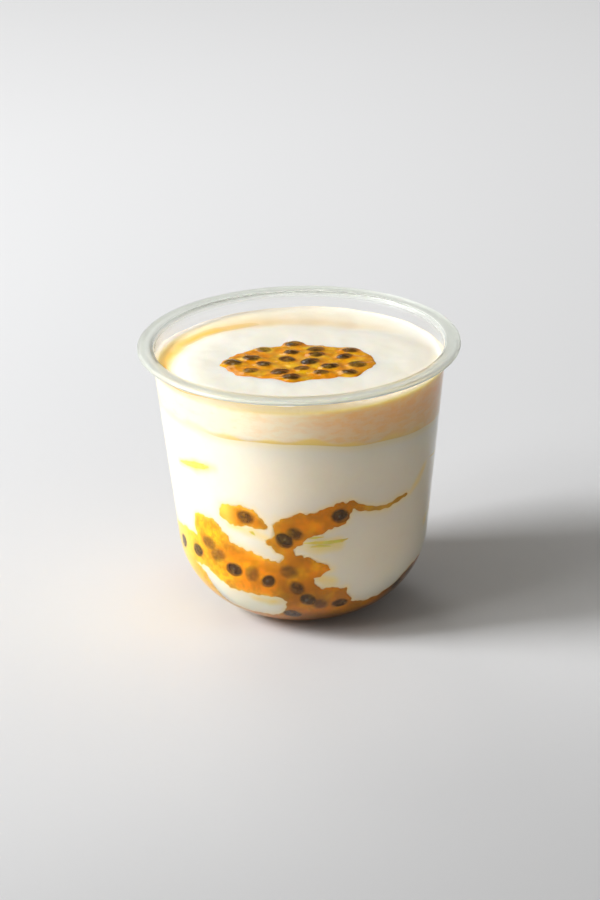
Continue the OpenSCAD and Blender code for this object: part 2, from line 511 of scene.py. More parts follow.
class Shader:
    """A short way to write a material's nodes"""

    def __init__(self, name):
        self.material = bpy.data.materials.new(name)
        self.material.use_nodes = True
        self.tree = self.material.node_tree
        self.tree.nodes.clear()
        self.out = self.node("ShaderNodeOutputMaterial")

    def node(self, kind, **settings):
        made = self.tree.nodes.new(kind)
        for key, value in settings.items():
            setattr(made, key, value)
        return made

    def feed(self, socket, value):
        if isinstance(value, bpy.types.NodeSocket):
            self.tree.links.new(value, socket)
        elif isinstance(value, tuple) and len(value) == 3 and socket.type == "RGBA":
            socket.default_value = (*value, 1)
        else:
            socket.default_value = value

    def surface(self, **values):
        bsdf = self.node("ShaderNodeBsdfPrincipled")
        for key, value in values.items():
            self.feed(bsdf.inputs[key.replace("_", " ")], value)
        return bsdf

    def output(self, shader, volume=None):
        self.tree.links.new(shader, self.out.inputs["Surface"])
        if volume is not None:
            self.tree.links.new(volume, self.out.inputs["Volume"])
        return self.material

    def position(self):
        return self.node("ShaderNodeTexCoord").outputs["Object"]

    def noise(self, size, detail=3.0, roughness=0.5, stretch=(1, 1, 1)):
        mapping = self.node("ShaderNodeMapping")
        mapping.inputs["Scale"].default_value = stretch
        self.feed(mapping.inputs["Vector"], self.position())
        texture = self.node("ShaderNodeTexNoise")
        texture.inputs["Scale"].default_value = 1 / size
        texture.inputs["Detail"].default_value = detail
        texture.inputs["Roughness"].default_value = roughness
        self.feed(texture.inputs["Vector"], mapping.outputs["Vector"])
        return texture.outputs["Fac"]

    def value(self, name):
        return self.node("ShaderNodeAttribute", attribute_name=name).outputs["Fac"]

    def band(self, value, low, high, to_low=0.0, to_high=1.0):
        ranged = self.node("ShaderNodeMapRange", interpolation_type="SMOOTHSTEP")
        self.feed(ranged.inputs["Value"], value)
        for socket, number in zip(ranged.inputs[1:5], (low, high, to_low, to_high)):
            socket.default_value = number
        return ranged.outputs["Result"]

    def math(self, operation, *values, clamp=False):
        made = self.node("ShaderNodeMath", operation=operation, use_clamp=clamp)
        for socket, value in zip(made.inputs, values):
            self.feed(socket, value)
        return made.outputs[0]

    def mix(self, factor, one, two, blend="MIX"):
        made = self.node("ShaderNodeMix", data_type="RGBA", blend_type=blend)
        self.feed(made.inputs["Factor"], factor)
        self.feed(made.inputs[6], one)
        self.feed(made.inputs[7], two)
        return made.outputs[2]

    def bump(self, height, strength, distance):
        made = self.node("ShaderNodeBump")
        made.inputs["Strength"].default_value = strength
        made.inputs["Distance"].default_value = distance
        self.feed(made.inputs["Height"], height)
        return made.outputs["Normal"]


def clear_plastic(pot):
    """Thin clear plastic that lets the lamps through to what it holds"""
    s = Shader("clear_plastic")
    flow = s.bump(s.noise(9 * MM, 2, 0.5, (1, 1, 0.4)), 0.06, 0.4 * MM)
    rim = s.value("rim")
    milky = s.band(rim, 0, 1, 0.0, 0.17)
    body = s.surface(
        Base_Color=s.mix(rim, tuple(pot.tint), (0.84, 0.86, 0.79)),
        Roughness=s.band(rim, 0, 1, 0.03, 0.28),
        IOR=1.33, Specular_IOR_Level=0.22, Transmission_Weight=s.math("SUBTRACT", 1.0, milky), Normal=flow,
    )
    passing = s.node("ShaderNodeBsdfTransparent")
    passing.inputs["Color"].default_value = (0.99, 0.99, 0.985, 1)
    path = s.node("ShaderNodeLightPath")
    mixed = s.node("ShaderNodeMixShader")
    s.feed(mixed.inputs[0], path.outputs["Is Shadow Ray"])
    s.tree.links.new(body.outputs[0], mixed.inputs[1])
    s.tree.links.new(passing.outputs[0], mixed.inputs[2])
    return s.output(mixed.outputs[0])


def yogurt_surface(fill):
    """Moist white yogurt, a little yellow where juice has run into it, with painted light making it brighter
    and warmer low on the left front
    """
    s = Shader("yogurt")
    tint = s.band(s.noise(11 * MM, 4, 0.6), 0.42, 0.75)
    near = s.value("juice")
    colour = s.mix(s.math("MULTIPLY", tint, 0.35), tuple(fill.yogurt), (0.79, 0.70, 0.52))
    # painted light: low on the left front the yogurt is painted brighter and warmer, standing in for light
    # bounced up from the floor
    colour = s.mix(s.value("low"), colour, (0.95, 0.87, 0.68))
    colour = s.mix(near, colour, (0.95, 0.69, 0.17))
    grain = s.bump(s.noise(0.9 * MM, 3, 0.6), 0.15, 0.1 * MM)
    body = s.surface(
        Base_Color=colour, Roughness=0.55, IOR=1.36, Specular_IOR_Level=0.2,
        Subsurface_Weight=s.band(s.value("close"), 0, 1, 0.9, 0.15),
        Subsurface_Radius=(15 * MM, 11 * MM, 7 * MM), Subsurface_Scale=1.0, Normal=grain,
    )
    return s.output(body.outputs[0])


def cream_surface(fill):
    """Pale cream, peach behind the wall, wet with juice at its edge, and with painted shade between the
    juice and the wall
    """
    s = Shader("cream")
    cloud = s.band(s.noise(13 * MM, 4, 0.55), 0.35, 0.7)
    top = s.mix(s.math("MULTIPLY", cloud, 0.5), tuple(fill.cream), (0.96, 0.90, 0.79))
    # painted shade: the band between the juice and the wall is painted a darker beige
    top = s.mix(s.value("wall_shade"), top, (0.80, 0.66, 0.44))
    streaky = s.band(s.noise(5 * MM, 4, 0.6, (1, 1, 2.5)), 0.35, 0.7, -0.25, 0.25)
    peach = s.math("ADD", s.value("peach"), streaky, clamp=True)
    side = s.mix(peach, (0.82, 0.72, 0.54), tuple(fill.band))
    side = s.mix(s.value("hem"), side, (0.93, 0.65, 0.18))
    colour = s.mix(s.value("side"), top, side)
    wet = s.value("juice")
    colour = s.mix(wet, colour, tuple(fill.juice))
    grain = s.bump(s.noise(2.2 * MM, 4, 0.6), 0.2, 0.25 * MM)
    body = s.surface(
        Base_Color=colour, Roughness=s.band(wet, 0, 1, 0.42, 0.12), IOR=1.38, Subsurface_Weight=0.45,
        Subsurface_Radius=(10 * MM, 7 * MM, 4 * MM), Subsurface_Scale=1.0, Normal=grain,
    )
    return s.output(body.outputs[0])


def pulp_surface(pulp, name, gloss):
    """Wet, translucent pulp: yellow to orange, paler at thin edges and on the lit left with painted light,
    darker at the foot and towards the shaded right with painted shade, and clearer over each seed
    """
    s = Shader(name)
    cloud = s.band(s.noise(4 * MM, 4, 0.6), 0.3, 0.7, -0.35, 0.35)
    orange_share = s.math("ADD", s.value("orange_share"), cloud, clamp=True)
    colour = s.mix(orange_share, tuple(pulp.light), tuple(pulp.deep))
    vein = s.band(s.noise(2.4 * MM, 4, 0.7), 0.44, 0.60, 0.0, 0.6)
    colour = s.mix(vein, colour, (0.56, 0.20, 0.0))
    # painted light: paler yellow at thin edges on the left and over the left side that faces the key; partly
    # thin pulp, partly painted light
    colour = s.mix(s.value("pale"), colour, (0.92, 0.62, 0.08))
    # painted shade: the foot mask darkens the pulp to brown; partly the deeper pulp's own colour, partly
    # painted shade
    colour = s.mix(s.math("MULTIPLY", s.value("foot"), 0.92), colour, (0.16, 0.055, 0.0))
    shade = s.value("shade")
    mottled = s.band(s.noise(1.3 * MM, 4, 0.7), 0.45, 0.62)
    colour = s.mix(shade, colour, s.mix(mottled, (0.03, 0.02, 0.01), (0.16, 0.10, 0.02)))
    fibre = s.bump(s.noise(1.6 * MM, 3, 0.6, (1, 1, 0.5)), 0.15 if gloss else 0.3, 0.2 * MM)
    body = s.surface(
        Base_Color=colour, Roughness=0.16 if gloss else 0.3, IOR=1.37,
        Specular_IOR_Level=0.3 if gloss else 0.06,
        Subsurface_Weight=s.band(shade, 0, 1, 0.1 if gloss else 0.3, 0.0),
        Subsurface_Radius=(2 * MM, 1.2 * MM, 0.3 * MM),
        Subsurface_Scale=1.0, Normal=fibre,
    )
    clear = s.node("ShaderNodeBsdfTransparent")
    clear.inputs["Color"].default_value = (0.92, 0.60, 0.25, 1)
    mixed = s.node("ShaderNodeMixShader")
    s.feed(mixed.inputs[0], s.math("MULTIPLY", shade, s.band(mottled, 0, 1, 0.65, 0.35)))
    s.tree.links.new(body.outputs[0], mixed.inputs[1])
    s.tree.links.new(clear.outputs[0], mixed.inputs[2])
    return s.output(mixed.outputs[0])


def streak_surface():
    """Thin yellow juice spread in the yogurt"""
    s = Shader("streak_juice")
    colour = s.mix(s.band(s.noise(3 * MM, 3, 0.6), 0.35, 0.65), (0.82, 0.68, 0.12), (0.92, 0.60, 0.10))
    body = s.surface(
        Base_Color=colour, Roughness=0.35, IOR=1.36, Specular_IOR_Level=0.1, Subsurface_Weight=0.6,
        Subsurface_Radius=(3 * MM, 2 * MM, 0.8 * MM), Subsurface_Scale=1.0,
    )
    return s.output(body.outputs[0])


def seed_surface(pulp):
    """Smooth wet seeds with a fine pitting"""
    s = Shader("seed")
    patch = s.band(s.noise(1.5 * MM, 3, 0.6), 0.4, 0.7)
    colour = s.mix(patch, tuple(pulp.seed), (0.13, 0.09, 0.025))
    pits = s.bump(s.noise(0.35 * MM, 2, 0.5), 0.3, 0.06 * MM)
    body = s.surface(
        Base_Color=colour, Roughness=0.28, IOR=1.45, Coat_Weight=0.6, Coat_Roughness=0.1, Normal=pits
    )
    return s.output(body.outputs[0])


def floor_surface(stage):
    """Pale paper, with painted light falloff: darker towards the front and a little lighter further back"""
    s = Shader("floor_paper")
    paper_tone_and_falloff = s.band(s.noise(0.5, 3, 0.5), 0.3, 0.7, 0.985, 1.0)
    place = s.node("ShaderNodeSeparateXYZ")
    s.feed(place.inputs[0], s.position())
    slant = s.math("MULTIPLY_ADD", place.outputs[0], -0.5, place.outputs[1])
    # painted light: the floor colour falls off darker towards the front and rises a little towards the back,
    # standing in for the lamps' falloff
    paper_tone_and_falloff = s.math("MULTIPLY", paper_tone_and_falloff, s.band(slant, -0.24, -0.07, 0.85, 1.0))
    paper_tone_and_falloff = s.math("MULTIPLY", paper_tone_and_falloff, s.band(slant, 0.1, 0.6, 1.0, 1.08))
    colour = s.mix(1.0, tuple(stage.floor), paper_tone_and_falloff, "MULTIPLY")
    body = s.surface(Base_Color=colour, Roughness=0.75, Specular_IOR_Level=0.15)
    return s.output(body.outputs[0])


# ---------------------------------------------------------------------------
# The pieces
# ---------------------------------------------------------------------------


def cream_edge(azimuth):
    """Height of the cream's lower edge on the wall"""
    fill = bpy.context.scene.yogurt_pot_filling
    side = np.sin(azimuth)
    lean = 4.2 * MM * smooth(-0.4, 1.0, side) + 1.0 * MM * side
    waves = (
        0.45 * MM * np.sin(3 * azimuth + 0.6) + 0.25 * MM * np.sin(7 * azimuth + 2)
        + 0.15 * MM * np.sin(13 * azimuth)
    )
    return FILL_Z - fill.band_h - lean * 0.85 + waves + 0.4 * MM


class YOGURTPOT_OT_pot(bpy.types.Operator):
    """Make the clear pot with its flat, beaded rim"""

    bl_idname = "yogurt_pot.pot"
    bl_label = "Pot"

    def execute(self, context):
        pot = context.scene.yogurt_pot_body
        outer = Outline(pot, 0)
        inner = Outline(pot, pot.wall, POT_H)
        bead_r = pot.bead_d / 2
        start = math.radians(180) + math.asin((pot.rim_t - bead_r) / bead_r)
        angles = np.linspace(start, math.radians(450), 20)
        bead = [
            (RIM_R - bead_r + bead_r * math.cos(a), POT_H - bead_r + bead_r * math.sin(a)) for a in angles
        ]
        # a round shoulder where the wall meets the rim, outside and in
        shoulder = 0.9 * MM
        out_x, in_x = outer.x[-1], inner.x[-1]
        under = [
            (out_x - shoulder * 0.1 + shoulder * (1 - math.cos(a)),
             outer.top - shoulder * (1 - math.sin(a)))
            for a in np.linspace(0, math.pi / 2, 7)
        ]
        lip = [
            (in_x + shoulder * (1 - math.sin(a)), POT_H - shoulder * (1 - math.cos(a)))
            for a in np.linspace(0, math.pi / 2, 7)
        ]
        groove_x = RIM_R - pot.bead_d - 0.3 * MM
        groove = [(groove_x + 0.5 * MM, POT_H - 0.02 * MM), (groove_x, POT_H - 0.14 * MM),
                  (groove_x - 0.7 * MM, POT_H - 0.14 * MM),
                  (groove_x - 1.2 * MM, POT_H - 0.02 * MM)]
        outside = [(x, z) for x, z in zip(outer.x, outer.z) if z < outer.top - shoulder]
        inside = [(x, z) for x, z in zip(inner.x, inner.z) if z < POT_H - shoulder]
        points = outside + under + bead + groove + lip + inside[::-1]
        bm = spin_profile(points, 144)
        places = coordinates(bm)
        out = np.hypot(places[:, 0], places[:, 1])
        paint(bm, "rim", smooth(in_x - 0.2 * MM, in_x + 0.6 * MM, out)
              * smooth(3 * MM, 1.5 * MM, POT_H - places[:, 2]))
        finish_piece(bm, "clear_pot", clear_plastic(pot), ("cup",), math.radians(50))
        return {"FINISHED"}


class YOGURTPOT_OT_yogurt(bpy.types.Operator):
    """Make the yogurt, hollowed where the pulp lies"""

    bl_idname = "yogurt_pot.yogurt"
    bl_label = "Yogurt"

    def execute(self, context):
        pot = context.scene.yogurt_pot_body
        outline = Outline(pot, pot.wall - YOGURT_REACH, POT_H)
        pulp = PulpMap(outline, PULP_BANDS, 0.5 * MM)
        top = float(outline.along(60 * MM))
        bm = wrapped_grid(300, 190, 1.2 * MM, top)
        flat = coordinates(bm)
        u, v = flat[:, 0], flat[:, 1]
        azimuth = u / WRAP_R
        edge = pulp.edge(u, v)
        length = context.scene.yogurt_pot_pulp.seed_l
        _, pocket = seed_marks(outline, azimuth, v, seed_places(outline, pulp), length)
        pocket = pocket * smooth(0, -1.2 * MM, edge)
        hollow = np.maximum(pulp.depth(u, v, edge), pocket) - 0.25 * MM
        depth = np.where(edge < -0.2 * MM, np.maximum(hollow, 0), 0)
        # the topmost rows stretch up to the cream's edge
        rise = smooth(float(outline.along(50 * MM)), top, v)
        high = outline.along(cream_edge(azimuth))
        v_up = v + rise * (high - top)
        near = np.exp(-np.maximum(edge, 0) / (0.9 * MM)) * 0.55
        near = np.maximum(near, 0.3 * smooth(3.0 * MM, 0.0, high - v_up))
        stains = PulpMap(outline, STAINS, 0.6 * MM).bands(u, v_up)
        points = outline.place(azimuth, v_up, 0)
        near = np.maximum(
            near, smooth(1.8 * MM, -0.8 * MM, stains) * (0.62 + 0.35 * rough(points, 3 * MM, 14))
        )
        near = np.clip(near, 0, 1)
        move_to(bm.verts, outline.place(azimuth, v_up, depth))
        paint(bm, "juice", near)
        close = np.exp(-np.maximum(edge, 0) / (3 * MM))
        paint(bm, "close", np.maximum(close, np.exp(-np.maximum(high - v_up, 0) / (2 * MM))))
        # painted light: marks the lower left front, which the yogurt's material paints brighter and warmer
        # as floor bounce light
        paint(bm, "low", smooth(20 * MM, 9 * MM, points[:, 2]) * smooth(-70, -50, np.degrees(azimuth))
              * smooth(5, -20, np.degrees(azimuth)))
        bmesh.ops.remove_doubles(bm, verts=bm.verts, dist=1e-6)
        bmesh.ops.holes_fill(bm, edges=[e for e in bm.edges if e.is_boundary], sides=0)
        bmesh.ops.recalc_face_normals(bm, faces=bm.faces)
        finish_piece(
            bm, "yogurt_body", yogurt_surface(context.scene.yogurt_pot_filling), ("yogurt",)
        )
        return {"FINISHED"}


class YOGURTPOT_OT_cream(bpy.types.Operator):
    """Make the cream layer with its uneven underside, low edge and juice"""

    bl_idname = "yogurt_pot.cream"
    bl_label = "Cream"

    def execute(self, context):
        pot = context.scene.yogurt_pot_body
        outline = Outline(pot, pot.wall - YOGURT_REACH, POT_H)
        columns, side_rows, top_rows = 288, 26, 60
        rows = side_rows + top_rows
        bm = wrapped_grid(columns, rows, 0, 1)
        flat = coordinates(bm)
        azimuth = flat[:, 0] / WRAP_R
        t = flat[:, 1] * rows / side_rows
        on_side = np.clip(t, 0, 1)
        inward = np.clip((flat[:, 1] * rows - side_rows) / top_rows, 0, 0.995)
        inward = inward ** 1.6
        turn = np.degrees(azimuth)
        level = FILL_Z - 0.15 * MM
        # the juice and cream cling to the wall above the level, highest at the front
        climb = np.interp(turn, *zip(*CLIMB)) * MM * (
            1 + 0.12 * np.sin(azimuth * 9) + 0.08 * np.sin(azimuth * 23)
        )
        low = cream_edge(azimuth)
        side_z = low + (level + climb - low) * on_side
        wall_r = outline.radius(side_z)
        r = wall_r * (1 - inward)
        x, y = r * np.sin(azimuth), -r * np.cos(azimuth)
        from_wall = wall_r - r
        points = np.stack([x, y, np.zeros(len(x))], axis=-1)
        centre = np.interp(turn, *zip(*JUICE_RING)) * MM + 0.7 * MM * rough(points, 6 * MM, 7)
        width = np.interp(turn, *zip(*JUICE_WIDTH)) * MM
        power = np.interp(turn, *zip(*JUICE_POWER)) * (1 + 0.35 * rough(points, 7 * MM, 9))
        # the moat that holds the juice, and the soft dome inside it
        moat = np.exp(-((from_wall - centre) / (2.2 * width)) ** 2) * np.clip(power + 0.25, 0, 1)
        dome = 0.55 * MM * smooth(centre, centre + 9 * MM, from_wall)
        soft = 0.25 * MM * rough(points, 9 * MM, 5) + 0.1 * MM * rough(points, 3.5 * MM, 6)
        meniscus = climb * np.exp(-from_wall / (0.45 * MM))
        top_z = level - 0.9 * MM * moat + dome + soft * smooth(0, 4 * MM, from_wall) + meniscus
        on_top = inward > 0
        move_to(bm.verts, np.stack([x, y, np.where(on_top, top_z, side_z)], axis=-1))
        ring = np.clip(power, 0, 1) * np.exp(-((from_wall - centre) / width) ** 2)
        clung = smooth(0.4, 0.9, meniscus / MM) * np.interp(turn, *zip(*CLUNG_JUICE))
        paint(bm, "juice", np.where(on_top, np.maximum(ring, clung), 0))
        # painted shade: marks the band from the wall to just past the juice ring, which the material paints
        # a darker beige
        between = smooth(centre + 4 * MM, centre - 1 * MM, from_wall) * np.interp(turn, *zip(*WALL_SHADE))
        paint(bm, "wall_shade", np.where(on_top, between, 0))
        paint(bm, "side", np.where(on_top, 0.0, 1.0))
        drip = low + (1.0 + 0.5 * np.sin(azimuth * 8 + 1) + 0.5 * np.sin(azimuth * 21)) * MM
        lower = smooth(0.7 * MM, -0.5 * MM, side_z - drip) * np.interp(turn, *zip(*LOWER_JUICE))
        upper = smooth(-0.9 * MM, 0.3 * MM, side_z - level) * (0.4 + 0.6 * smooth(-50, 0, turn))
        paint(bm, "hem", np.where(on_top, 0, np.maximum(lower, 0.8 * upper)))
        paint(bm, "peach", smooth(-34, 48, turn) * smooth(178, 120, turn)
              + 0.25 * rough(points, 12 * MM, 15))
        bmesh.ops.remove_doubles(bm, verts=bm.verts, dist=1e-6)
        bmesh.ops.holes_fill(bm, edges=[e for e in bm.edges if e.is_boundary], sides=0)
        bmesh.ops.recalc_face_normals(bm, faces=bm.faces)
        finish_piece(bm, "cream_top", cream_surface(context.scene.yogurt_pot_filling),
                     ("cream_layer",),
                     math.radians(60))
        return {"FINISHED"}


def seed_places(outline, pulp):
    """Places of the seeds against the wall, strung along the front bands and at random round the rest"""
    rng = random.Random(11)
    places = []
    for band, shares in FRONT_SEEDS:
        turns, heights = np.array(PULP_BANDS[band])[:, :2].T
        steps = np.hypot(np.diff(turns) * math.radians(1) * WRAP_R, np.diff(heights) * MM)
        along = np.concatenate([[0], np.cumsum(steps)]) / steps.sum()
        for share in shares:
            azimuth = math.radians(np.interp(share, along, turns) + rng.uniform(-1, 1))
            s = float(outline.along((np.interp(share, along, heights) + rng.uniform(-1, 1)) * MM))
            depth = rng.choice((0.1, 0.3, 0.8, 1.4)) * MM
            places.append((azimuth, s, depth, rng.uniform(-1.3, 1.3), rng.uniform(0.9, 1.1)))
    tries = 0
    while tries < 900:
        tries += 1
        azimuth = math.radians(rng.uniform(50, 282))
        s = float(outline.along(rng.uniform(3, 42) * MM))
        depth = rng.choice((0.1, 0.5, 1.2, 1.9, 2.6)) * MM
        turn, share = rng.uniform(-1.6, 1.6), rng.uniform(0.85, 1.1)
        u = azimuth * WRAP_R
        if float(pulp.edge(np.array([u]), np.array([s]))[0]) > -1.9 * MM:
            continue
        r = float(np.interp(s, outline.s, outline.x))
        gaps = [math.hypot(around(azimuth - a) * r, s - t) for a, t, _, _, _ in places]
        if min(gaps) < rng.uniform(4.6, 8.5) * MM:
            continue
        places.append((azimuth, s, depth, turn, share))
    return places


def around(angle):
    """An angle brought to within half a turn of 0"""
    return (angle + math.pi) % (2 * math.pi) - math.pi


def seed_marks(outline, azimuth, s, places, length):
    """How much the seeds darken each place on the wall, and how deep the pulp must be to hold them"""
    shade = np.zeros(len(s))
    pocket = np.zeros(len(s))
    r = np.interp(s, outline.s, outline.x)
    for a, t, depth, turn, share in places:
        across, up = around(azimuth - a) * r, s - t
        x = across * math.cos(turn) + up * math.sin(turn)
        y = up * math.cos(turn) - across * math.sin(turn)
        reach = np.hypot(x, y * 1.25) / (length / 2 * share)
        blur = 0.18 + 0.16 * depth / MM
        shade = np.maximum(shade, math.exp(-0.42 * depth / MM) * smooth(1.05 + blur, 1.0 - blur, reach))
        pocket = np.maximum(pocket, (depth + length * SEED_FLATNESS * 1.25) * smooth(1.7, 1.0, reach))
    return shade, pocket


def add_seed(bm, rng, length, matrix):
    """One flat, pointed seed, placed by a matrix"""
    made = bmesh.ops.create_uvsphere(bm, u_segments=16, v_segments=10, radius=1)["verts"]
    width = rng.uniform(0.74, 0.84)
    for v in made:
        x, y, z = v.co
        taper = 1 - 0.28 * max(x, 0) ** 1.5
        v.co = (x, y * width * taper, z * SEED_FLATNESS * taper)
    bmesh.ops.transform(bm, matrix=matrix @ Matrix.Scale(length / 2, 4), verts=made)


def wall_axes(outline, azimuth, s, depth):
    """A place on the wall with its outward direction, as a matrix"""
    here = Vector(outline.place(np.array([azimuth]), np.array([s]), np.array([depth]))[0])
    deeper = Vector(outline.place(np.array([azimuth]), np.array([s]), np.array([depth + MM]))[0])
    out = (here - deeper).normalized()
    return Matrix.Translation(here) @ out.to_track_quat("Z", "Y").to_matrix().to_4x4()


class YOGURTPOT_OT_pulp(bpy.types.Operator):
    """Make the pulp that climbs the wall and lies on the bottom"""

    bl_idname = "yogurt_pot.pulp"
    bl_label = "Pulp"

    def execute(self, context):
        pot = context.scene.yogurt_pot_body
        outline = Outline(pot, pot.wall - PULP_REACH, POT_H)
        pulp = PulpMap(outline, PULP_BANDS, 0.5 * MM)
        low, high = 1.0 * MM, float(outline.along(50 * MM))
        bm = wrapped_grid(540, 158, low, high)
        cut_to_field(bm, pulp.edge)
        flat = coordinates(bm)
        u, v = flat[:, 0], flat[:, 1]
        azimuth = u / WRAP_R
        edge = pulp.edge(u, v)
        seeds = seed_places(outline, pulp)
        points = outline.place(azimuth, v, 0)
        length = context.scene.yogurt_pot_pulp.seed_l
        shade, pocket = seed_marks(outline, azimuth, v, seeds, length)
        pocket = pocket * smooth(0, -1.2 * MM, edge)
        depth = np.maximum(np.maximum(pulp.depth(u, v, edge), pocket), 0.3 * MM)
        turn = np.degrees(azimuth)
        paint(bm, "shade", shade)
        front = smooth(160, 110, turn)
        # painted shade, partly the deeper pulp's own colour: darker towards the bottom, more so to the
        # right, low on the right side, and in patches from the front middle towards the right, spared at two
        # lobes
        foot = smooth(14 * MM, 5 * MM, points[:, 2]) * (0.35 + 0.65 * smooth(-26, 10, turn) * front)
        foot = np.maximum(foot, smooth(20 * MM, 15 * MM, points[:, 2]) * smooth(30, 52, turn) * front)
        middle = 0.12 + 0.34 * smooth(-20, -10, turn) + 0.4 * rough(points, 5 * MM, 19)
        lobe = np.exp(-((turn - 7) / 6) ** 2 - ((points[:, 2] / MM - 26.5) / 3) ** 2)
        lobe += np.exp(-((turn - 6) / 5) ** 2 - ((points[:, 2] / MM - 41.5) / 3) ** 2)
        foot = np.maximum(foot, middle * smooth(-52, -40, turn) * front * (1 - lobe))
        paint(bm, "foot", np.clip(foot, 0, 1))
        # yellower on the front left, between about -85 and -46 degrees, and deeper orange elsewhere, most of
        # all at the front and right
        orange_share = 0.2 + 0.45 * smooth(-85, -125, turn) + smooth(-46, -30, turn) * (0.45 + 0.35 * front)
        paint(bm, "orange_share", np.clip(orange_share + 0.6 * rough(points, 7 * MM, 12), 0, 1))
        # painted light, partly thin pulp: edges painted paler only on the lit left, plus the flag's top, the
        # thin tail and the left side facing the key
        pale = np.exp(edge / (0.8 * MM)) * 0.5 * smooth(8, -20, turn)
        pale = np.maximum(pale, smooth(-28, -36, turn) * smooth(39 * MM, 40 * MM, points[:, 2]) * 0.9)
        tail = smooth(39 * MM, 41 * MM, points[:, 2])
        pale = np.maximum(pale, 0.4 * smooth(23, 34, turn) * tail * smooth(62, 58, turn))
        pale = np.maximum(pale, 0.75 * smooth(-54, -68, turn) * smooth(-115, -90, turn))
        paint(bm, "pale", pale)
        thicken(bm, points, outline.place(azimuth, v, depth))
        material = pulp_surface(context.scene.yogurt_pot_pulp, "wall_pulp", False)
        finish_piece(bm, "pulp_bed", material, ("fruit_base",))
        self.seeds(context, outline, seeds)
        return {"FINISHED"}

    def seeds(self, context, outline, places):
        """The seeds in that pulp"""
        rng = random.Random(5)
        length = context.scene.yogurt_pot_pulp.seed_l
        bm = bmesh.new()
        for azimuth, s, depth, turn, share in places:
            size = length * share
            lean = Matrix.Rotation(rng.uniform(-0.15, 0.15), 4, "X")
            sunk = depth + size / 2 * SEED_FLATNESS - 0.12 * MM
            axes = wall_axes(outline, azimuth, s, sunk)
            add_seed(bm, rng, size, axes @ Matrix.Rotation(turn, 4, "Z") @ lean)
        finish_piece(bm, "wall_seeds", seed_surface(context.scene.yogurt_pot_pulp))


class YOGURTPOT_OT_streaks(bpy.types.Operator):
    """Make the thin streaks of juice in the yogurt"""

    bl_idname = "yogurt_pot.streaks"
    bl_label = "Streaks"

    def execute(self, context):
        pot = context.scene.yogurt_pot_body
        outline = Outline(pot, pot.wall - PULP_REACH, POT_H)
        streaks = PulpMap(outline, STREAKS, 0.15 * MM)
        low, high = float(outline.along(33 * MM)), float(outline.along(59 * MM))
        bm = wrapped_grid(1100, 110, low, high)

        def field(u, v):
            return streaks.bands(u, v)

        cut_to_field(bm, field)
        flat = coordinates(bm)
        azimuth, v = flat[:, 0] / WRAP_R, flat[:, 1]
        thicken(bm, outline.place(azimuth, v, 0), outline.place(azimuth, v, 0.4 * MM))
        finish_piece(bm, "juice_streaks", streak_surface())
        return {"FINISHED"}


def pool_places(centre, half):
    """Places of the pool's seeds, spread in a loose spiral over its oval"""
    rng = random.Random(29)
    places = []
    for i in range(POOL_COUNT):
        reach = 0.84 * math.sqrt((i + 0.4) / POOL_COUNT)
        turn = i * POOL_TURN
        x = centre[0] + half[0] * reach * math.cos(turn) + rng.uniform(-0.9, 0.9) * MM
        y = centre[1] + half[1] * reach * math.sin(turn) + rng.uniform(-0.9, 0.9) * MM
        places.append((x, y))
    return places


